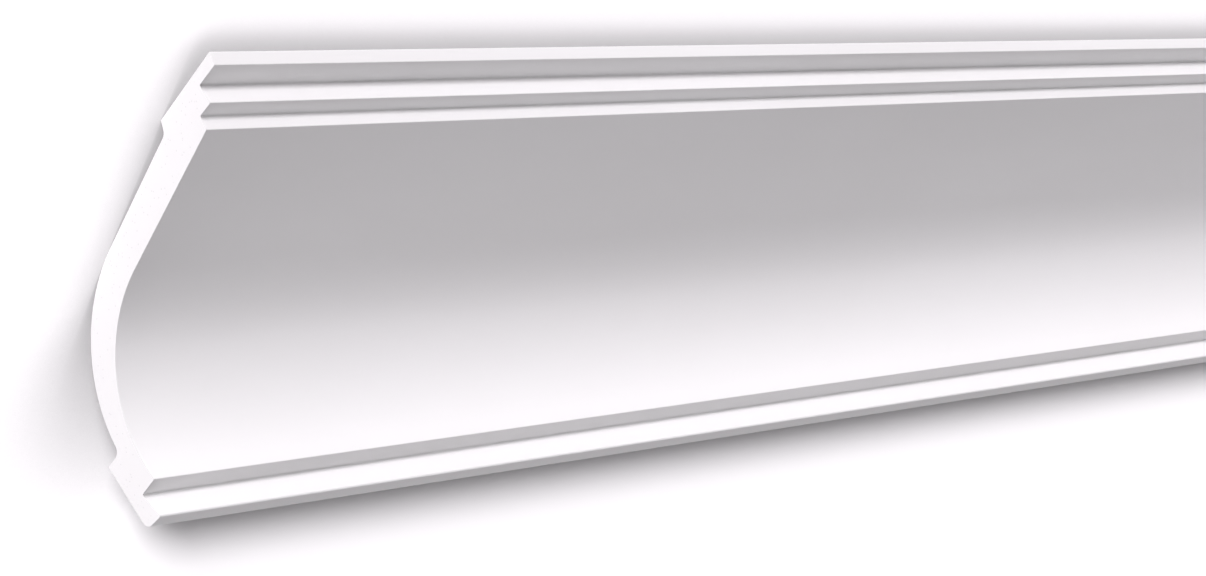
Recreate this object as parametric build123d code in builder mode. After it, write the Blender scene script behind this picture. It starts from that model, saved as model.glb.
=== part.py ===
from build123d import *
import os
from math import asin, atan2, cos, degrees, hypot, radians, sin, tan

# Cornice moulding: one plain length, moulded in rigid foam, with a hollow back.
# The section is drawn as it is fixed: x runs out from the wall, y runs down from
# the ceiling. The length is then laid on its back on the floor, room side up.
# Sizes are in millimetres and angles in degrees.

# The length, and the two overall sizes of the section
length = 2000.0
projection = 152.2
drop = 104.8

# The two flat beds that take the adhesive
ceiling_bed = 37.2
wall_bed = 31.6

# The steps under the ceiling, from the room's side towards the wall
top_fascia_height = 5.3
top_fascia_lean = 1.9
top_soffit_depth = 10.9
second_fascia_height = 8.5
second_fascia_lean = 0.5
second_soffit_depth = 7.2
third_fascia_height = 5.8
third_fascia_lean = 1.2
soffit_draft = 1.5

# The cove: a straight slope that runs into a quarter round
cove_slope = 9.0
cove_radius = 57.2
cove_foot = 16.5

# The band below the cove, against the wall
foot_fascia_height = 12.2
foot_soffit_depth = 9.2
foot_fascia_lean = 2.0
bottom_draft = 6.5

# The hollow back, which follows the cove
crown_thickness = 17.0
foot_thickness = 8.2
back_slope = 10.6
back_radius = 63.7
ledge_slant = 25.0
hollow_fillet = 3.5

# Edges, as they leave the mould
arris_radius = 0.4
inner_radius = 0.7
bottom_front_radius = 0.8
bottom_back_radius = 3.5

# Corners of the steps
soffit_rise = tan(radians(soffit_draft))
top_edge = Vector(projection, 0)
top_arris = top_edge + Vector(-top_fascia_lean, top_fascia_height)
top_corner = top_arris - Vector(top_soffit_depth, top_soffit_depth * soffit_rise)
second_arris = top_corner + Vector(-second_fascia_lean, second_fascia_height)
second_corner = second_arris - Vector(second_soffit_depth, second_soffit_depth * soffit_rise)
cove_top = second_corner + Vector(-third_fascia_lean, third_fascia_height)

# The slope stops where the quarter round, upright at the cove's foot, takes over
cove_rise = tan(radians(cove_slope))
slope_run = cove_top.X - cove_foot - cove_radius * (1 - sin(radians(cove_slope)))

# Corners of the band at the foot
foot_arris = Vector(cove_foot, drop - foot_fascia_height)
foot_corner = foot_arris - Vector(foot_soffit_depth, 0)
bottom_front = foot_corner + Vector(foot_fascia_lean, foot_fascia_height)
bottom_back = Vector(0, drop - bottom_front.X * tan(radians(bottom_draft)))

# The hollow starts at a slanted ledge beside the ceiling bed
bed_edge = Vector(projection - ceiling_bed, 0)
slant = tan(radians(ledge_slant))
back_rise = tan(radians(back_slope))
back_at_edge = cove_top.Y + (cove_top.X - bed_edge.X) * cove_rise - crown_thickness
hollow_y = back_at_edge / (1 - slant * back_rise)
hollow_top = Vector(bed_edge.X - hollow_y * slant, hollow_y)

# Its slope runs into an arc that the ledge above the wall bed cuts off
back_left = cove_foot - foot_thickness
back_centre_x = back_left + back_radius
back_run = hollow_top.X - back_left - back_radius * (1 - sin(radians(back_slope)))
back_centre_y = (
    hollow_top.Y
    + (hollow_top.X - back_centre_x) * back_rise
    + back_radius / cos(radians(back_slope))
)
ledge_edge = Vector(0, drop - wall_bed)
back_sweep = 90 - back_slope - degrees(asin((back_centre_y - ledge_edge.Y) / back_radius))

# The length rests on two lines, the ceiling bed's inner edge and the back's arc
centre_distance = hypot(bed_edge.X - back_centre_x, back_centre_y)
centre_bearing = atan2(back_centre_y, bed_edge.X - back_centre_x)
rest_tilt = degrees(centre_bearing - asin(back_radius / centre_distance))


def corners(*points):
    """Pick the section's corner that lies nearest to each point."""
    return [section.vertices().sort_by_distance(point)[0] for point in points]


with BuildSketch() as section:
    with BuildLine():
        # From the ceiling's edge, down the room side and round the foot to the wall
        Polyline(top_edge, top_arris, top_corner, second_arris, second_corner, cove_top)
        slope = PolarLine(cove_top, slope_run / cos(radians(cove_slope)), 180 - cove_slope)
        cove = JernArc(slope @ 1, slope % 1, cove_radius, cove_slope - 90)
        Polyline(cove @ 1, foot_arris, foot_corner, bottom_front, bottom_back, ledge_edge)
        # The ceiling bed, and the hollow down to the wall bed
        Polyline(top_edge, bed_edge, hollow_top)
        back = PolarLine(hollow_top, back_run / cos(radians(back_slope)), 180 - back_slope)
        hollow = JernArc(back @ 1, back % 1, back_radius, -back_sweep)
        Line(hollow @ 1, ledge_edge)
    make_face()

    fillet(corners(top_edge, top_arris, second_arris, cove_top, foot_arris), arris_radius)
    fillet(corners(top_corner, second_corner, foot_corner), inner_radius)
    fillet(corners(bottom_front), bottom_front_radius)
    fillet(corners(bottom_back), bottom_back_radius)
    fillet(corners(hollow_top, hollow @ 1), hollow_fillet)

# The plane of the section as the length lies: its middle over the origin, lowest
# lines on the floor, and the room's edge of the ceiling bed towards +Y
lying = section.sketch.rotate(Axis.Z, rest_tilt).bounding_box()
out_from_wall = Vector(0, cos(radians(rest_tilt)), sin(radians(rest_tilt)))
lying_plane = Plane(
    origin=(0, -lying.center().X, -lying.min.Y),
    x_dir=out_from_wall,
    z_dir=(1, 0, 0),
)

with BuildPart() as cornice_moulding:
    with BuildSketch(lying_plane):
        add(section.sketch)
    extrude(amount=length / 2, both=True)
cornice_moulding.part.label = "cornice_moulding"

os.makedirs("parts", exist_ok=True)
export_step(cornice_moulding.part, "parts/cornice_moulding.step")
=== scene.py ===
"""Cornice moulding: one plain length lying on its back, room side up.

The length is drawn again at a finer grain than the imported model: its section is
rounded and meshed from the same sizes, and Geometry Nodes run it out to the full
length. Sizes of the section are in millimetres and everything else is in metres.
"""

import logging
import math
from dataclasses import dataclass, field
from enum import Enum
from typing import Optional

import bmesh
import bpy
from mathutils import Matrix, Vector


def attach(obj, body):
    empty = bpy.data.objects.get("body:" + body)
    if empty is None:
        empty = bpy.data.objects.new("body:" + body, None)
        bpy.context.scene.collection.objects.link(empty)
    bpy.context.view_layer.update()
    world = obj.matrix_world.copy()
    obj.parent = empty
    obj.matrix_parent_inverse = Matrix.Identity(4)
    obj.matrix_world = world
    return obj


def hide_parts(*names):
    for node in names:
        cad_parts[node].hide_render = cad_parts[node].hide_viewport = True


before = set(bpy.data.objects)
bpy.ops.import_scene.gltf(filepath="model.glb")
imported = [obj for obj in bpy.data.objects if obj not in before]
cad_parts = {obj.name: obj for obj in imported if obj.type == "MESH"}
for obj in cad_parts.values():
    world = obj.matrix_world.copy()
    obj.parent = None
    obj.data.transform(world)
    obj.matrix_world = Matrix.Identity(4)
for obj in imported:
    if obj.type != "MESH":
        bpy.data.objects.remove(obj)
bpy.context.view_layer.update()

MM = 0.001
WELD = 1e-6
PIECE = "moulded_length"
NODE = "cornice_moulding"
BODY = "root"
LAMP_TINT = (1.0, 0.968, 1.0)

# Places of sockets that share their names with others on the same node
COLOUR_A, COLOUR_B, COLOUR_MIXED = 6, 7, 2
WHOLE_A, WHOLE_B = 2, 3

log = logging.getLogger("cornice")


class Surface(Enum):
    """The kinds of surface that the moulding has."""

    MOULDED = "primed_moulded_face"
    SAWN = "sawn_foam_end"


# ---------------------------------------------------------------- the section


@dataclass
class Outline:
    """A closed outline, laid down in order as rounded corners and arcs.

    Args:
        turn_step: The most that a rounding turns from one point to the next, in degrees.
        arc_chord: The longest chord along a large arc, in millimetres.
        guard: How far beside a rounding the flat gets a point of its own, in millimetres.
    """

    turn_step: float = 15.0
    arc_chord: float = 1.6
    guard: float = 0.2
    runs: list[tuple[list[Vector], float, float]] = field(default_factory=list)

    def corner(self, point: Vector, radius: float = 0.0, arris: float = 0.0) -> None:
        """Add a corner between two straight lines.

        Args:
            point: Where the two lines meet.
            radius: The radius that rounds the corner, or 0 for a sharp one.
            arris: 1 where the corner is an outer edge that a hand would rub.
        """
        self.runs.append(([point], radius, arris))

    def arc(self, centre: Vector, radius: float, start: float, end: float) -> None:
        """Add an arc that its neighbours meet without a rounding.

        Args:
            centre: The arc's centre.
            radius: Its radius.
            start: The angle of its first point, in degrees from +x towards +y.
            end: The angle of its last point.
        """
        run = self._sweep(centre, radius, math.radians(start), math.radians(end))
        self.runs.append((run, 0.0, 0.0))

    def points(self) -> list[tuple[Vector, float]]:
        """Resolve the outline.

        Returns:
            Each point of the closed outline, with its arris mask.
        """
        resolved: list[tuple[Vector, float]] = []
        for number, (run, radius, arris) in enumerate(self.runs):
            if radius:
                before = self.runs[number - 1][0][-1]
                after = self.runs[(number + 1) % len(self.runs)][0][0]
                resolved += self._rounded(before, run[0], after, radius, arris)
            else:
                resolved += [(point, arris) for point in run]
        return resolved

    def _rounded(
        self, before: Vector, corner: Vector, after: Vector, radius: float, arris: float
    ) -> list[tuple[Vector, float]]:
        """Round one corner, with a guard point on each flat beside it."""
        back, on = (before - corner).normalized(), (after - corner).normalized()
        opening = back.angle(on)
        reach = radius / math.tan(opening / 2)
        centre = corner + (back + on).normalized() * (radius / math.sin(opening / 2))
        first, last = corner + back * reach - centre, corner + on * reach - centre
        start = math.atan2(first.y, first.x)
        turn = first.angle(last)
        if first.x * last.y - first.y * last.x < 0:
            turn = -turn
        bend = [(point, arris) for point in self._sweep(centre, radius, start, start + turn)]
        return [
            (corner + back * (reach + self.guard), 0.0),
            *bend,
            (corner + on * (reach + self.guard), 0.0),
        ]

    def _sweep(self, centre: Vector, radius: float, start: float, end: float) -> list[Vector]:
        """Points of an arc between two angles in radians, both ends included."""
        turn = abs(end - start)
        count = math.ceil(max(turn / math.radians(self.turn_step), turn * radius / self.arc_chord))
        angles = [start + (end - start) * step / count for step in range(count + 1)]
        return [centre + Vector((math.cos(angle), math.sin(angle))) * radius for angle in angles]


@dataclass(frozen=True)
class CorniceSection:
    """The section as it is fixed, in millimetres: x out from the wall, y down from the ceiling."""

    projection: float = 152.2
    drop: float = 104.8
    ceiling_bed: float = 37.2
    wall_bed: float = 31.6
    top_fascia_height: float = 5.3
    top_fascia_lean: float = 1.9
    top_soffit_depth: float = 10.9
    second_fascia_height: float = 8.5
    second_fascia_lean: float = 0.5
    second_soffit_depth: float = 7.2
    third_fascia_height: float = 5.8
    third_fascia_lean: float = 1.2
    soffit_draft: float = 1.5
    cove_slope: float = 9.0
    cove_radius: float = 57.2
    cove_foot: float = 16.5
    foot_fascia_height: float = 12.2
    foot_soffit_depth: float = 9.2
    foot_fascia_lean: float = 2.0
    bottom_draft: float = 6.5
    crown_thickness: float = 17.0
    foot_thickness: float = 8.2
    back_slope: float = 10.6
    back_radius: float = 63.7
    ledge_slant: float = 25.0
    hollow_fillet: float = 3.5
    arris_radius: float = 0.4
    inner_radius: float = 0.7
    bottom_front_radius: float = 0.8
    bottom_back_radius: float = 3.5

    def _back_centre(self) -> tuple[Vector, Vector]:
        """The upper corner of the hollow back, and the centre of its arc."""
        bed_edge = self.projection - self.ceiling_bed
        cove_top_x = (
            self.projection - self.top_fascia_lean - self.top_soffit_depth
            - self.second_fascia_lean - self.second_soffit_depth - self.third_fascia_lean
        )
        draft = math.tan(math.radians(self.soffit_draft))
        cove_top_y = (
            self.top_fascia_height + self.second_fascia_height + self.third_fascia_height
            - (self.top_soffit_depth + self.second_soffit_depth) * draft
        )
        cove_rise = math.tan(math.radians(self.cove_slope))
        back_rise = math.tan(math.radians(self.back_slope))
        slant = math.tan(math.radians(self.ledge_slant))
        at_edge = cove_top_y + (cove_top_x - bed_edge) * cove_rise - self.crown_thickness
        hollow_y = at_edge / (1 - slant * back_rise)
        hollow_top = Vector((bed_edge - hollow_y * slant, hollow_y))
        centre_x = self.cove_foot - self.foot_thickness + self.back_radius
        centre_y = (
            hollow_y + (hollow_top.x - centre_x) * back_rise
            + self.back_radius / math.cos(math.radians(self.back_slope))
        )
        return hollow_top, Vector((centre_x, centre_y))

    def rest_tilt(self) -> float:
        """How far the section turns to lie on its bed edge and its back, in radians."""
        _, centre = self._back_centre()
        bed_edge = self.projection - self.ceiling_bed
        distance = math.hypot(bed_edge - centre.x, centre.y)
        return math.atan2(centre.y, bed_edge - centre.x) - math.asin(self.back_radius / distance)

    def outline(self) -> list[tuple[Vector, float]]:
        """Draw the section.

        Returns:
            The points of the closed outline in the section's own frame, each with its arris mask.
        """
        rise = math.tan(math.radians(self.soffit_draft))
        top_arris = Vector((self.projection - self.top_fascia_lean, self.top_fascia_height))
        top_corner = top_arris - Vector((self.top_soffit_depth, self.top_soffit_depth * rise))
        second_arris = top_corner + Vector((-self.second_fascia_lean, self.second_fascia_height))
        second_corner = second_arris - Vector(
            (self.second_soffit_depth, self.second_soffit_depth * rise)
        )
        cove_top = second_corner + Vector((-self.third_fascia_lean, self.third_fascia_height))
        cove_rise = math.tan(math.radians(self.cove_slope))
        cove_bend = Vector((self.cove_foot, cove_top.y + (cove_top.x - self.cove_foot) * cove_rise))
        foot_arris = Vector((self.cove_foot, self.drop - self.foot_fascia_height))
        foot_corner = foot_arris - Vector((self.foot_soffit_depth, 0))
        bottom_front = foot_corner + Vector((self.foot_fascia_lean, self.foot_fascia_height))
        bottom_rise = bottom_front.x * math.tan(math.radians(self.bottom_draft))
        bottom_back = Vector((0, self.drop - bottom_rise))
        hollow_top, centre = self._back_centre()

        # The rounding between the back's arc and the ledge touches both
        ledge_y = self.drop - self.wall_bed
        reach = self.back_radius + self.hollow_fillet
        below = centre.y - ledge_y + self.hollow_fillet
        meeting = 180 + math.degrees(math.asin(below / reach))
        root = centre - Vector((math.sqrt(reach**2 - below**2), below))

        line = Outline()
        line.corner(Vector((self.projection, 0)), self.arris_radius, 1)
        line.corner(top_arris, self.arris_radius, 1)
        line.corner(top_corner, self.inner_radius)
        line.corner(second_arris, self.arris_radius, 1)
        line.corner(second_corner, self.inner_radius)
        line.corner(cove_top, self.arris_radius, 1)
        line.corner(cove_bend, self.cove_radius)
        line.corner(foot_arris, self.arris_radius, 1)
        line.corner(foot_corner, self.inner_radius)
        line.corner(bottom_front, self.bottom_front_radius, 1)
        line.corner(bottom_back, self.bottom_back_radius, 1)
        line.corner(Vector((0, ledge_y)), arris=1)
        line.arc(root, self.hollow_fillet, 90, meeting - 180)
        line.arc(centre, self.back_radius, meeting, 270 - self.back_slope)
        line.corner(hollow_top, self.hollow_fillet)
        line.corner(Vector((self.projection - self.ceiling_bed, 0)), arris=1)
        return line.points()

    def lying(self) -> list[tuple[Vector, float]]:
        """Turn the section onto its back.

        Returns:
            The outline as it lies, in metres: x is the row's Y and y is its Z.
        """
        tilt = Matrix.Rotation(self.rest_tilt(), 2)
        turned = [(tilt @ point, mask) for point, mask in self.outline()]
        left = min(point.x for point, _ in turned)
        right = max(point.x for point, _ in turned)
        lowest = min(point.y for point, _ in turned)
        middle = Vector(((left + right) / 2, lowest))
        return [((point - middle) * MM, mask) for point, mask in turned]


# ------------------------------------------------------- shared shader effects


class NodeBuilder:
    """Adds and joins nodes in one tree."""

    def __init__(self, tree: bpy.types.NodeTree) -> None:
        """Take the tree that the nodes go into."""
        self.tree = tree

    def add(self, kind: str, **settings: object) -> bpy.types.Node:
        """Add a node.

        Args:
            kind: The node's type name.
            settings: Properties of the node, such as operation or data_type.

        Returns:
            The new node.
        """
        node = self.tree.nodes.new(kind)
        for name, value in settings.items():
            setattr(node, name, value)
        return node

    def join(self, source: bpy.types.NodeSocket, target: bpy.types.NodeSocket) -> None:
        """Link one socket to another."""
        self.tree.links.new(source, target)

    def math(self, operation: str, *values: object, clamp: bool = False) -> bpy.types.NodeSocket:
        """Add a Math node.

        Args:
            operation: Its operation.
            values: Numbers or sockets, in the order of its inputs.
            clamp: Whether the result is held between 0 and 1.

        Returns:
            The node's output.
        """
        node = self.add("ShaderNodeMath", operation=operation, use_clamp=clamp)
        self._fill(node, values)
        return node.outputs[0]

    def _fill(self, node: bpy.types.Node, values: tuple[object, ...]) -> None:
        """Set or link a node's inputs in order."""
        for socket, value in zip(node.inputs, values):
            if isinstance(value, bpy.types.NodeSocket):
                self.join(value, socket)
            else:
                socket.default_value = value


class ShadingGroup(NodeBuilder):
    """A shader node group with named inputs and outputs."""

    def __init__(self, name: str) -> None:
        """Start the group and its two ends."""
        super().__init__(bpy.data.node_groups.new(name, "ShaderNodeTree"))
        self.inside = self.add("NodeGroupInput")
        self.outside = self.add("NodeGroupOutput")

    def takes(self, name: str, kind: str, value: object) -> None:
        """Declare an input with its default value."""
        self.tree.interface.new_socket(name, in_out="INPUT", socket_type=kind).default_value = value

    def gives(self, name: str, kind: str, source: bpy.types.NodeSocket) -> None:
        """Declare an output and link it."""
        self.tree.interface.new_socket(name, in_out="OUTPUT", socket_type=kind)
        self.join(source, self.outside.inputs[name])


class Effects:
    """The shader node groups that more than one finish uses, each made once."""

    # Patches are drawn out along X, and fade between these two levels of the noise
    PATCH_STRETCH = (0.25, 1, 1)
    PATCH_FADE = (0.35, 0.65)
    PATCH_DETAIL = 3.0
    STIPPLE_DETAIL = 1.5
    PORE_STEEPNESS = 8.0

    def __init__(self) -> None:
        """Build both groups."""
        self.mottle = self._mottle()
        self.pores = self._pores()

    @staticmethod
    def _mottle() -> bpy.types.NodeTree:
        """Broad, faint patches where the coat is thinner, drawn out along the length."""
        group = ShadingGroup("Patchy coat")
        group.takes("Thick", "NodeSocketColor", (1, 1, 1, 1))
        group.takes("Thin", "NodeSocketColor", (1, 1, 1, 1))
        group.takes("Patches per Metre", "NodeSocketFloat", 20.0)
        group.takes("Least", "NodeSocketFloat", 0.0)
        group.takes("Most", "NodeSocketFloat", 1.0)
        place = group.add("ShaderNodeTexCoord")
        drawn = group.add("ShaderNodeMapping")
        drawn.inputs["Scale"].default_value = Effects.PATCH_STRETCH
        group.join(place.outputs["Object"], drawn.inputs["Vector"])
        broad = group.add("ShaderNodeTexNoise", noise_dimensions="3D")
        broad.inputs["Detail"].default_value = Effects.PATCH_DETAIL
        group.join(drawn.outputs["Vector"], broad.inputs["Vector"])
        group.join(group.inside.outputs["Patches per Metre"], broad.inputs["Scale"])
        spread = group.add("ShaderNodeMapRange", interpolation_type="SMOOTHSTEP")
        spread.inputs["From Min"].default_value = Effects.PATCH_FADE[0]
        spread.inputs["From Max"].default_value = Effects.PATCH_FADE[1]
        group.join(broad.outputs["Fac"], spread.inputs["Value"])
        mixed = group.add("ShaderNodeMix", data_type="RGBA")
        group.join(spread.outputs["Result"], mixed.inputs["Factor"])
        group.join(group.inside.outputs["Thick"], mixed.inputs[COLOUR_A])
        group.join(group.inside.outputs["Thin"], mixed.inputs[COLOUR_B])
        level = group.add("ShaderNodeMapRange")
        group.join(spread.outputs["Result"], level.inputs["Value"])
        group.join(group.inside.outputs["Least"], level.inputs["To Min"])
        group.join(group.inside.outputs["Most"], level.inputs["To Max"])
        group.gives("Color", "NodeSocketColor", mixed.outputs[COLOUR_MIXED])
        group.gives("Level", "NodeSocketFloat", level.outputs["Result"])
        return group.tree

    @staticmethod
    def _pores() -> bpy.types.NodeTree:
        """A fine stipple with scattered round pores in it, as a height and a mask of the pores."""
        group = ShadingGroup("Stipple and pores")
        group.takes("Stipples per Metre", "NodeSocketFloat", 1200.0)
        group.takes("Pores per Metre", "NodeSocketFloat", 400.0)
        group.takes("Pore Share", "NodeSocketFloat", 0.2)
        group.takes("Pore Chance", "NodeSocketFloat", 0.5)
        place = group.add("ShaderNodeTexCoord")
        stipple = group.add("ShaderNodeTexNoise", noise_dimensions="3D")
        stipple.inputs["Detail"].default_value = Effects.STIPPLE_DETAIL
        group.join(place.outputs["Object"], stipple.inputs["Vector"])
        group.join(group.inside.outputs["Stipples per Metre"], stipple.inputs["Scale"])
        cells = group.add("ShaderNodeTexVoronoi", feature="F1", voronoi_dimensions="3D")
        group.join(place.outputs["Object"], cells.inputs["Vector"])
        group.join(group.inside.outputs["Pores per Metre"], cells.inputs["Scale"])
        wall = group.math("SUBTRACT", group.inside.outputs["Pore Share"], cells.outputs["Distance"])
        hollow = group.math("MULTIPLY", wall, Effects.PORE_STEEPNESS, clamp=True)
        lot = group.add("ShaderNodeSeparateColor")
        group.join(cells.outputs["Color"], lot.inputs["Color"])
        drawn = group.math("LESS_THAN", lot.outputs["Red"], group.inside.outputs["Pore Chance"])
        pore = group.math("MULTIPLY", hollow, drawn)
        height = group.math("SUBTRACT", stipple.outputs["Fac"], pore)
        group.gives("Height", "NodeSocketFloat", height)
        group.gives("Pore", "NodeSocketFloat", pore)
        return group.tree


# ---------------------------------------------------------------- the finishes


@dataclass(frozen=True)
class FoamFinish:
    """One finish of the foam: its colours, its gloss and the grain of its surface.

    Args:
        surface: Which surface it is for.
        thick: The colour where the coat or the skin is thick.
        thin: The colour where it is thin.
        patches: Broad patches per metre.
        gloss: The least and the most roughness.
        stipples: Stipples per metre.
        pores: Pore sites per metre.
        pore_share: How much of each site the pore takes.
        pore_chance: The share of the sites that have a pore.
        pore_shade: How much darker a pore is painted, as painted shade inside the pore.
        relief: Height of the grain, in metres.
        skin: Depth of the dense skin below the outline, where pores are few, in metres.
        rub: How far a rubbed arris goes to the thin colour.
        ior: How strongly the paint or foam bends light.
        shine: Strength of its highlights, where 0.5 is what the bending alone gives.
    """

    surface: Surface
    thick: tuple[float, float, float]
    thin: tuple[float, float, float]
    patches: float
    gloss: tuple[float, float]
    stipples: float
    pores: float
    pore_share: float
    pore_chance: float
    pore_shade: float
    relief: float
    skin: float = 0.0
    rub: float = 0.0
    ior: float = 1.45
    shine: float = 0.25

    def make(self, effects: Effects) -> bpy.types.Material:
        """Build the material.

        Args:
            effects: The shared shader groups.

        Returns:
            The finished material.
        """
        material = bpy.data.materials.new(self.surface.value)
        material.use_nodes = True
        tree = NodeBuilder(material.node_tree)
        shader = material.node_tree.nodes["Principled BSDF"]
        shader.inputs["IOR"].default_value = self.ior
        shader.inputs["Specular IOR Level"].default_value = self.shine

        coat = tree.add("ShaderNodeGroup", node_tree=effects.mottle)
        coat.inputs["Thick"].default_value = (*self.thick, 1)
        coat.inputs["Thin"].default_value = (*self.thin, 1)
        coat.inputs["Patches per Metre"].default_value = self.patches
        coat.inputs["Least"].default_value, coat.inputs["Most"].default_value = self.gloss

        grain = tree.add("ShaderNodeGroup", node_tree=effects.pores)
        grain.inputs["Stipples per Metre"].default_value = self.stipples
        grain.inputs["Pores per Metre"].default_value = self.pores
        grain.inputs["Pore Share"].default_value = self.pore_share
        grain.inputs["Pore Chance"].default_value = self.pore_chance

        bump = tree.add("ShaderNodeBump")
        bump.inputs["Distance"].default_value = self.relief
        tree.join(grain.outputs["Height"], bump.inputs["Height"])
        tree.join(bump.outputs["Normal"], shader.inputs["Normal"])
        colour = self._colour(tree, coat, grain)
        tree.join(colour, shader.inputs["Base Color"])
        tree.join(coat.outputs["Level"], shader.inputs["Roughness"])
        return material

    def _colour(
        self, tree: NodeBuilder, coat: bpy.types.Node, grain: bpy.types.Node
    ) -> bpy.types.NodeSocket:
        """The colour: thinner on rubbed arrises, with painted shade in the pores below the dense
        skin.
        """
        colour, pore = coat.outputs["Color"], grain.outputs["Pore"]
        if self.rub > 0:
            arris = tree.add("ShaderNodeAttribute", attribute_name="arris")
            worn = tree.add("ShaderNodeMix", data_type="RGBA")
            worn.inputs[COLOUR_B].default_value = (*self.thin, 1)
            tree.join(tree.math("MULTIPLY", arris.outputs["Fac"], self.rub), worn.inputs["Factor"])
            tree.join(colour, worn.inputs[COLOUR_A])
            colour = worn.outputs[COLOUR_MIXED]
        if self.skin > 0:
            depth = tree.add("ShaderNodeAttribute", attribute_name="skin_depth")
            inner = tree.add("ShaderNodeMapRange", interpolation_type="SMOOTHSTEP")
            inner.inputs["From Min"].default_value = self.skin / 2
            inner.inputs["From Max"].default_value = self.skin
            tree.join(depth.outputs["Fac"], inner.inputs["Value"])
            pore = tree.math("MULTIPLY", pore, inner.outputs["Result"])
        # Painted shade: each pore's colour is darkened by pore_shade
        shaded = tree.add("ShaderNodeMix", data_type="RGBA", blend_type="MULTIPLY")
        shaded.inputs[COLOUR_B].default_value = (1 - self.pore_shade,) * 3 + (1,)
        tree.join(pore, shaded.inputs["Factor"])
        tree.join(colour, shaded.inputs[COLOUR_A])
        return shaded.outputs[COLOUR_MIXED]


PRIMED = FoamFinish(
    surface=Surface.MOULDED,
    thick=(0.926, 0.924, 0.925),
    thin=(0.914, 0.911, 0.911),
    patches=14.0,
    gloss=(0.72, 0.78),
    stipples=900.0,
    pores=120.0,
    pore_share=0.03,
    pore_chance=0.3,
    pore_shade=0.1,
    relief=0.00003,
    rub=0.6,
)

SAWN = FoamFinish(
    surface=Surface.SAWN,
    thick=(0.934, 0.932, 0.932),
    thin=(0.926, 0.923, 0.922),
    patches=30.0,
    gloss=(0.72, 0.85),
    stipples=2600.0,
    pores=900.0,
    pore_share=0.3,
    pore_chance=0.07,
    pore_shade=0.12,
    relief=0.00004,
    skin=0.003,
)


# -------------------------------------------------------------- the moulding


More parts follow.
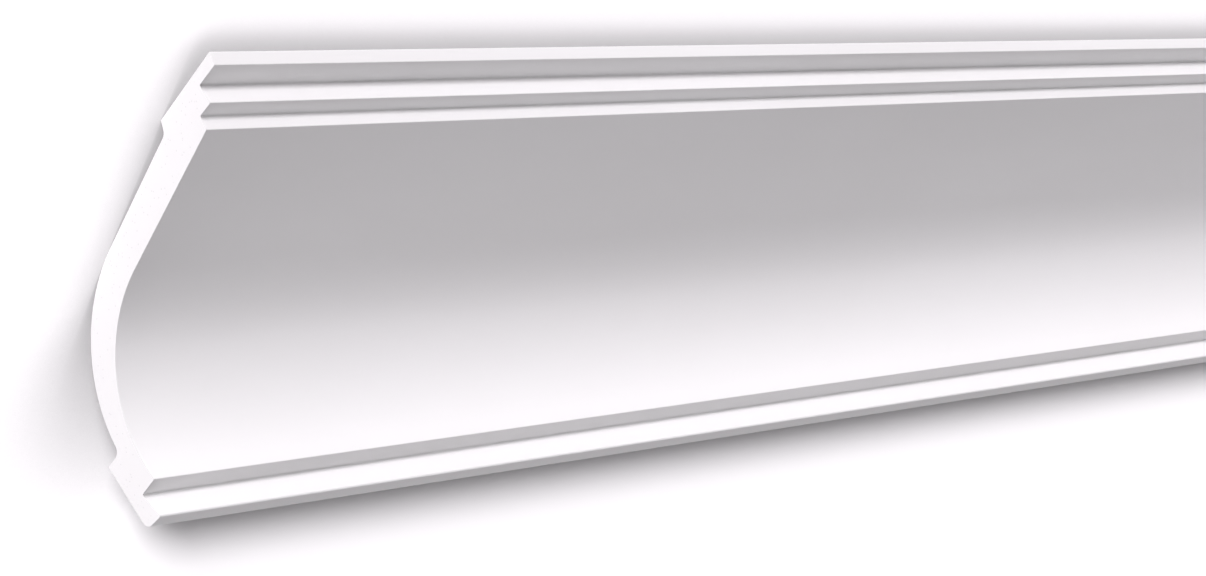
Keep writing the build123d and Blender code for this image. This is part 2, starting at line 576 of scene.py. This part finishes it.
class SweepTree(NodeBuilder):
    """Geometry Nodes that run a flat section out to its length and dress it."""

    def __init__(self) -> None:
        """Build the tree, with named inputs for its sizes."""
        super().__init__(bpy.data.node_groups.new("Section to length", "GeometryNodeTree"))
        self.inside = self.add("NodeGroupInput")
        self.outside = self.add("NodeGroupOutput")
        self._declare()
        self._build()

    def _declare(self) -> None:
        sockets = self.tree.interface
        sockets.new_socket("Section", in_out="INPUT", socket_type="NodeSocketGeometry")
        sockets.new_socket("Length", in_out="INPUT", socket_type="NodeSocketFloat")
        sockets.new_socket("Crease Angle", in_out="INPUT", socket_type="NodeSocketFloat")
        sockets.new_socket("Face Material", in_out="INPUT", socket_type="NodeSocketMaterial")
        sockets.new_socket("End Material", in_out="INPUT", socket_type="NodeSocketMaterial")
        sockets.new_socket("Moulding", in_out="OUTPUT", socket_type="NodeSocketGeometry")

    def _build(self) -> None:
        """Add the nodes: skin depth, sweep, near end, shading and materials."""
        section = self._with_skin_depth(self.inside.outputs["Section"])

        # The section runs out from the near end, and a turned copy of it closes that end
        offset = self.add("ShaderNodeCombineXYZ")
        self.join(self.inside.outputs["Length"], offset.inputs["X"])
        sweep = self.add("GeometryNodeExtrudeMesh", mode="FACES")
        sweep.inputs["Individual"].default_value = False
        self.join(section, sweep.inputs["Mesh"])
        self.join(offset.outputs["Vector"], sweep.inputs["Offset"])
        far = self._mark_sawn(sweep.outputs["Mesh"], sweep.outputs["Top"])
        flipped = self.add("GeometryNodeFlipFaces")
        self.join(section, flipped.inputs["Mesh"])
        near = self._mark_sawn(flipped.outputs["Mesh"], None)
        both = self.add("GeometryNodeJoinGeometry")
        self.join(near, both.inputs["Geometry"])
        self.join(far, both.inputs["Geometry"])
        welded = self.add("GeometryNodeMergeByDistance")
        welded.inputs["Distance"].default_value = WELD
        self.join(both.outputs["Geometry"], welded.inputs["Geometry"])

        real = self.add("GeometryNodeRealizeInstances")
        self.join(self._creased(welded.outputs["Geometry"]), real.inputs["Geometry"])
        faces = self.add("GeometryNodeSetMaterial")
        self.join(real.outputs["Geometry"], faces.inputs["Geometry"])
        self.join(self.inside.outputs["Face Material"], faces.inputs["Material"])
        sawn = self.add("GeometryNodeInputNamedAttribute", data_type="BOOLEAN")
        sawn.inputs["Name"].default_value = "sawn"
        ends = self.add("GeometryNodeSetMaterial")
        self.join(faces.outputs["Geometry"], ends.inputs["Geometry"])
        self.join(sawn.outputs["Attribute"], ends.inputs["Selection"])
        self.join(self.inside.outputs["End Material"], ends.inputs["Material"])
        self.join(ends.outputs["Geometry"], self.outside.inputs["Moulding"])

    def _with_skin_depth(self, section: bpy.types.NodeSocket) -> bpy.types.NodeSocket:
        """Store each point's depth below the outline, in metres."""
        neighbours = self.add("GeometryNodeInputMeshEdgeNeighbors")
        rim = self.add("FunctionNodeCompare", data_type="INT", operation="EQUAL")
        rim.inputs[WHOLE_B].default_value = 1
        self.join(neighbours.outputs["Face Count"], rim.inputs[WHOLE_A])
        outline = self.add("GeometryNodeSeparateGeometry", domain="EDGE")
        self.join(section, outline.inputs["Geometry"])
        self.join(rim.outputs["Result"], outline.inputs["Selection"])
        depth = self.add("GeometryNodeProximity", target_element="EDGES")
        self.join(outline.outputs["Selection"], depth.inputs[0])
        store = self.add("GeometryNodeStoreNamedAttribute", data_type="FLOAT", domain="POINT")
        store.inputs["Name"].default_value = "skin_depth"
        self.join(section, store.inputs["Geometry"])
        self.join(depth.outputs["Distance"], store.inputs["Value"])
        return store.outputs["Geometry"]

    def _mark_sawn(
        self, geometry: bpy.types.NodeSocket, selection: Optional[bpy.types.NodeSocket]
    ) -> bpy.types.NodeSocket:
        """Mark the faces that a saw cut, all of them where no selection is given."""
        store = self.add("GeometryNodeStoreNamedAttribute", data_type="BOOLEAN", domain="FACE")
        store.inputs["Name"].default_value = "sawn"
        store.inputs["Value"].default_value = True
        self.join(geometry, store.inputs["Geometry"])
        if selection is not None:
            self.join(selection, store.inputs["Selection"])
        return store.outputs["Geometry"]

    def _creased(self, geometry: bpy.types.NodeSocket) -> bpy.types.NodeSocket:
        """Shade the faces smooth, apart from edges that turn more than the crease angle."""
        angle = self.add("GeometryNodeInputMeshEdgeAngle")
        crease = self.add("FunctionNodeCompare", data_type="FLOAT", operation="GREATER_THAN")
        self.join(angle.outputs["Unsigned Angle"], crease.inputs[0])
        self.join(self.inside.outputs["Crease Angle"], crease.inputs[1])
        smooth = self.add("GeometryNodeSetShadeSmooth", domain="FACE")
        self.join(geometry, smooth.inputs["Geometry"])
        sharp = self.add("GeometryNodeSetShadeSmooth", domain="EDGE")
        sharp.inputs["Shade Smooth"].default_value = False
        self.join(smooth.outputs["Geometry"], sharp.inputs["Geometry"])
        self.join(crease.outputs["Result"], sharp.inputs["Selection"])
        return sharp.outputs["Geometry"]


@dataclass
class Moulding:
    """The one length of moulding.

    Args:
        section: Its section.
        length: Its length, in metres.
        grid: The mesh size of its cut ends, in metres.
        crease: The least angle at which an edge stays sharp, in degrees.
    """

    section: CorniceSection = field(default_factory=CorniceSection)
    length: float = 2.0
    grid: float = 0.002
    crease: float = 35.0

    def make(self, effects: Effects) -> bpy.types.Object:
        """Build the length and put it in the place of its CAD node.

        Args:
            effects: The shared shader groups.

        Returns:
            The finished piece.
        """
        piece = bpy.data.objects.new(PIECE, self._end_mesh())
        bpy.context.scene.collection.objects.link(piece)
        self._run_out(piece, PRIMED.make(effects), SAWN.make(effects))
        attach(piece, BODY)
        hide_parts(NODE)
        return piece

    def _end_mesh(self) -> bpy.types.Mesh:
        """The section as a flat mesh at the near end, cut into a grid, facing +X."""
        sheet = bmesh.new()
        arris = sheet.verts.layers.float.new("arris")
        for point, mask in self.section.lying():
            vertex = sheet.verts.new((-self.length / 2, point.x, point.y))
            vertex[arris] = mask
        face = sheet.faces.new(sheet.verts)
        face.normal_update()
        if face.normal.x < 0:
            face.normal_flip()
        for axis in (Vector((0, 1, 0)), Vector((0, 0, 1))):
            spans = [vertex.co.dot(axis) for vertex in sheet.verts]
            lowest, highest = min(spans), max(spans)
            cuts = math.floor((highest - lowest) / self.grid)
            for cut in range(1, cuts + 1):
                bmesh.ops.bisect_plane(
                    sheet,
                    geom=[*sheet.verts, *sheet.edges, *sheet.faces],
                    dist=WELD,
                    plane_co=axis * (lowest + cut * self.grid),
                    plane_no=axis,
                )
        mesh = bpy.data.meshes.new(PIECE)
        sheet.to_mesh(mesh)
        sheet.free()
        return mesh

    def _run_out(
        self, piece: bpy.types.Object, face: bpy.types.Material, end: bpy.types.Material
    ) -> None:
        """Sweep the flat section by Geometry Nodes and keep the result as a plain mesh."""
        tree = SweepTree().tree
        modifier = piece.modifiers.new("Section to length", "NODES")
        modifier.node_group = tree
        values = {
            "Length": self.length,
            "Crease Angle": math.radians(self.crease),
            "Face Material": face,
            "End Material": end,
        }
        for socket in tree.interface.items_tree:
            if socket.name in values:
                modifier[socket.identifier] = values[socket.name]
        graph = bpy.context.evaluated_depsgraph_get()
        swept = bpy.data.meshes.new_from_object(
            piece.evaluated_get(graph), preserve_all_data_layers=True, depsgraph=graph
        )
        piece.modifiers.remove(modifier)
        flat = piece.data
        piece.data = swept
        bpy.data.meshes.remove(flat)
        swept.name = PIECE
        log.info("%s: %d faces", PIECE, len(swept.polygons))


# ------------------------------------------------------------------ the studio


class Lit(Enum):
    """What a lamp shines on."""

    MOULDING = "lit_moulding"
    FLOOR = "lit_floor"


@dataclass(frozen=True)
class SoftLamp:
    """A distant soft lamp.

    Args:
        name: What it does.
        lit: What it shines on.
        bearing: Where it stands round the moulding, in degrees from +X towards +Y.
        height: How high it stands, in degrees above the floor.
        level: Its strength, where 1 lights a face turned to it at its own colour.
        spread: Its angular size, in degrees.
    """

    name: str
    lit: Lit
    bearing: float
    height: float
    level: float
    spread: float

    def make(self, receivers: bpy.types.Collection) -> None:
        """Hang the lamp.

        Args:
            receivers: The collection that it shines on.
        """
        lamp = bpy.data.lights.new(self.name, "SUN")
        lamp.energy = self.level * math.pi
        lamp.angle = math.radians(self.spread)
        lamp.color = LAMP_TINT
        holder = bpy.data.objects.new(self.name, lamp)
        holder.rotation_mode = "QUATERNION"
        holder.rotation_quaternion = self._direction().to_track_quat("Z", "Y")
        holder.light_linking.receiver_collection = receivers
        bpy.context.scene.collection.objects.link(holder)

    def _direction(self) -> Vector:
        """The direction in which it stands."""
        bearing, height = math.radians(self.bearing), math.radians(self.height)
        flat = math.cos(height)
        return Vector((math.cos(bearing) * flat, math.sin(bearing) * flat, math.sin(height)))


@dataclass
class Studio:
    """The pale floor, the lamps, the dim surroundings and the camera.

    Args:
        lamps: The lamps.
        dome: Strength of the light from all round.
        floor_reach: Half the floor's side, in metres.
        floor_throw: What share of light the floor throws back at the moulding.
        floor_show: The floor's own colour, as it is seen.
        near_shade: How far from the moulding its painted shade on the floor reaches, in metres.
        shade_depth: How dark that shade is where the moulding hides all the room above.
        shade_curve: The power that the open share of the room above is raised to.
        shade_rays: How many rays look for the moulding at each point of the floor.
        lens: The camera's focal length, in millimetres.
        film: The width of its film, in millimetres.
        view_range: The nearest and the farthest that it sees, in metres.
        stand: Where the camera stands.
        sight: A point in the middle of its view.
        up: The direction that is up in the picture.
    """

    lamps: tuple[SoftLamp, ...] = (
        SoftLamp("front_lamp", Lit.MOULDING, bearing=75.0, height=5.0, level=1.02, spread=24.0),
        SoftLamp("near_end_lamp", Lit.MOULDING, bearing=180.0, height=5.0, level=0.92, spread=30.0),
        SoftLamp("far_end_lamp", Lit.MOULDING, bearing=0.0, height=20.0, level=0.24, spread=40.0),
        SoftLamp("back_lamp", Lit.MOULDING, bearing=300.0, height=45.0, level=0.2, spread=40.0),
        SoftLamp("floor_lamp", Lit.FLOOR, bearing=140.0, height=27.0, level=1.16, spread=12.0),
        SoftLamp("high_floor_lamp", Lit.FLOOR, bearing=144.0, height=30.0, level=1.2, spread=10.0),
    )
    dome: float = 0.04
    floor_reach: float = 30.0
    floor_throw: float = 0.63
    floor_show: float = 1.0
    near_shade: float = 0.08
    shade_depth: float = 0.7
    shade_curve: float = 2.0
    shade_rays: int = 16
    lens: float = 101.8
    film: float = 36.0
    view_range: tuple[float, float] = (0.05, 100.0)
    stand: tuple[float, float, float] = (-1.86595, 0.56853, 0.78861)
    sight: tuple[float, float, float] = (-0.79772, 0.01107, 0.07577)
    up: tuple[float, float, float] = (0.06264, 0.82956, -0.55489)

    def make(self, piece: bpy.types.Object) -> None:
        """Set up the whole studio.

        Args:
            piece: The moulding that stands in it.
        """
        self._camera()
        self._surroundings()
        shown = {Lit.MOULDING: piece, Lit.FLOOR: self._floor()}
        receivers = {}
        for lit, thing in shown.items():
            receivers[lit] = bpy.data.collections.new(lit.value)
            receivers[lit].objects.link(thing)
        for lamp in self.lamps:
            lamp.make(receivers[lamp.lit])
        bpy.context.scene.view_settings.view_transform = "Standard"

    def _camera(self) -> None:
        """Place the camera at the photograph's viewing angle."""
        data = bpy.data.cameras.new("camera")
        data.sensor_width = self.film
        data.lens = self.lens
        data.clip_start, data.clip_end = self.view_range
        stand = Vector(self.stand)
        ahead = (Vector(self.sight) - stand).normalized()
        right = ahead.cross(Vector(self.up)).normalized()
        above = right.cross(ahead)
        turn = Matrix((right, above, -ahead)).transposed()
        camera = bpy.data.objects.new("camera", data)
        camera.rotation_mode = "QUATERNION"
        camera.rotation_quaternion = turn.to_quaternion()
        camera.location = stand
        bpy.context.scene.collection.objects.link(camera)
        bpy.context.scene.camera = camera

    def _floor(self) -> bpy.types.Object:
        """Lay the floor."""
        reach = self.floor_reach
        mesh = bpy.data.meshes.new("floor")
        corners = [(-reach, -reach, 0), (reach, -reach, 0), (reach, reach, 0), (-reach, reach, 0)]
        mesh.from_pydata(corners, [], [(0, 1, 2, 3)])
        mesh.materials.append(self._floor_finish())
        floor = bpy.data.objects.new("floor", mesh)
        bpy.context.scene.collection.objects.link(floor)
        return floor

    def _floor_finish(self) -> bpy.types.Material:
        """A matt floor that the camera sees white, with the moulding's shadow on it and painted
        shade near the moulding.
        """
        material = bpy.data.materials.new("white_floor")
        material.use_nodes = True
        tree = NodeBuilder(material.node_tree)
        material.node_tree.nodes.clear()
        lit = tree.add("ShaderNodeBsdfDiffuse")
        lit.inputs["Color"].default_value = (self.floor_throw,) * 3 + (1,)
        shown = tree.add("ShaderNodeBsdfDiffuse")
        # Painted shade: the seen floor colour darkens where the moulding hides the room above
        room = tree.add("ShaderNodeAmbientOcclusion", samples=self.shade_rays)
        room.inputs["Distance"].default_value = self.near_shade
        open_share = tree.math("POWER", room.outputs["AO"], self.shade_curve)
        shade = tree.add("ShaderNodeMapRange")
        shade.inputs["To Min"].default_value = self.floor_show * (1 - self.shade_depth)
        shade.inputs["To Max"].default_value = self.floor_show
        tree.join(open_share, shade.inputs["Value"])
        tree.join(shade.outputs["Result"], shown.inputs["Color"])
        pick = tree.add("ShaderNodeMixShader")
        tree.join(self._seen(tree), pick.inputs["Fac"])
        tree.join(lit.outputs["BSDF"], pick.inputs[1])
        tree.join(shown.outputs["BSDF"], pick.inputs[2])
        under = tree.add("ShaderNodeBsdfTransparent")
        side = tree.add("ShaderNodeNewGeometry")
        both = tree.add("ShaderNodeMixShader")
        tree.join(side.outputs["Backfacing"], both.inputs["Fac"])
        tree.join(pick.outputs["Shader"], both.inputs[1])
        tree.join(under.outputs["BSDF"], both.inputs[2])
        out = tree.add("ShaderNodeOutputMaterial")
        tree.join(both.outputs["Shader"], out.inputs["Surface"])
        return material

    def _surroundings(self) -> None:
        """Surround the moulding with dim light that the camera sees as white."""
        world = bpy.data.worlds.new("studio")
        world.use_nodes = True
        tree = NodeBuilder(world.node_tree)
        world.node_tree.nodes.clear()
        glow = tree.add("ShaderNodeBackground")
        glow.inputs["Strength"].default_value = self.dome
        glow.inputs["Color"].default_value = (*LAMP_TINT, 1)
        white = tree.add("ShaderNodeBackground")
        white.inputs["Color"].default_value = (1, 1, 1, 1)
        white.inputs["Strength"].default_value = 1.0
        pick = tree.add("ShaderNodeMixShader")
        tree.join(self._seen(tree), pick.inputs["Fac"])
        tree.join(glow.outputs["Background"], pick.inputs[1])
        tree.join(white.outputs["Background"], pick.inputs[2])
        out = tree.add("ShaderNodeOutputWorld")
        tree.join(pick.outputs["Shader"], out.inputs["Surface"])
        bpy.context.scene.world = world

    @staticmethod
    def _seen(tree: NodeBuilder) -> bpy.types.NodeSocket:
        """1 for rays from the camera, a reflection or glass, and 0 for the rest."""
        path = tree.add("ShaderNodeLightPath")
        direct, mirrored = path.outputs["Is Camera Ray"], path.outputs["Is Glossy Ray"]
        without_glass = tree.math("MAXIMUM", direct, mirrored)
        return tree.math("MAXIMUM", without_glass, path.outputs["Is Transmission Ray"])


def main() -> None:
    logging.basicConfig(level=logging.INFO, format="%(name)s: %(message)s")
    piece = Moulding().make(Effects())
    log.info("%s stands for %s", piece.name, NODE)
    Studio().make(piece)
    log.info("studio ready")


if __name__ == "__main__":
    main()
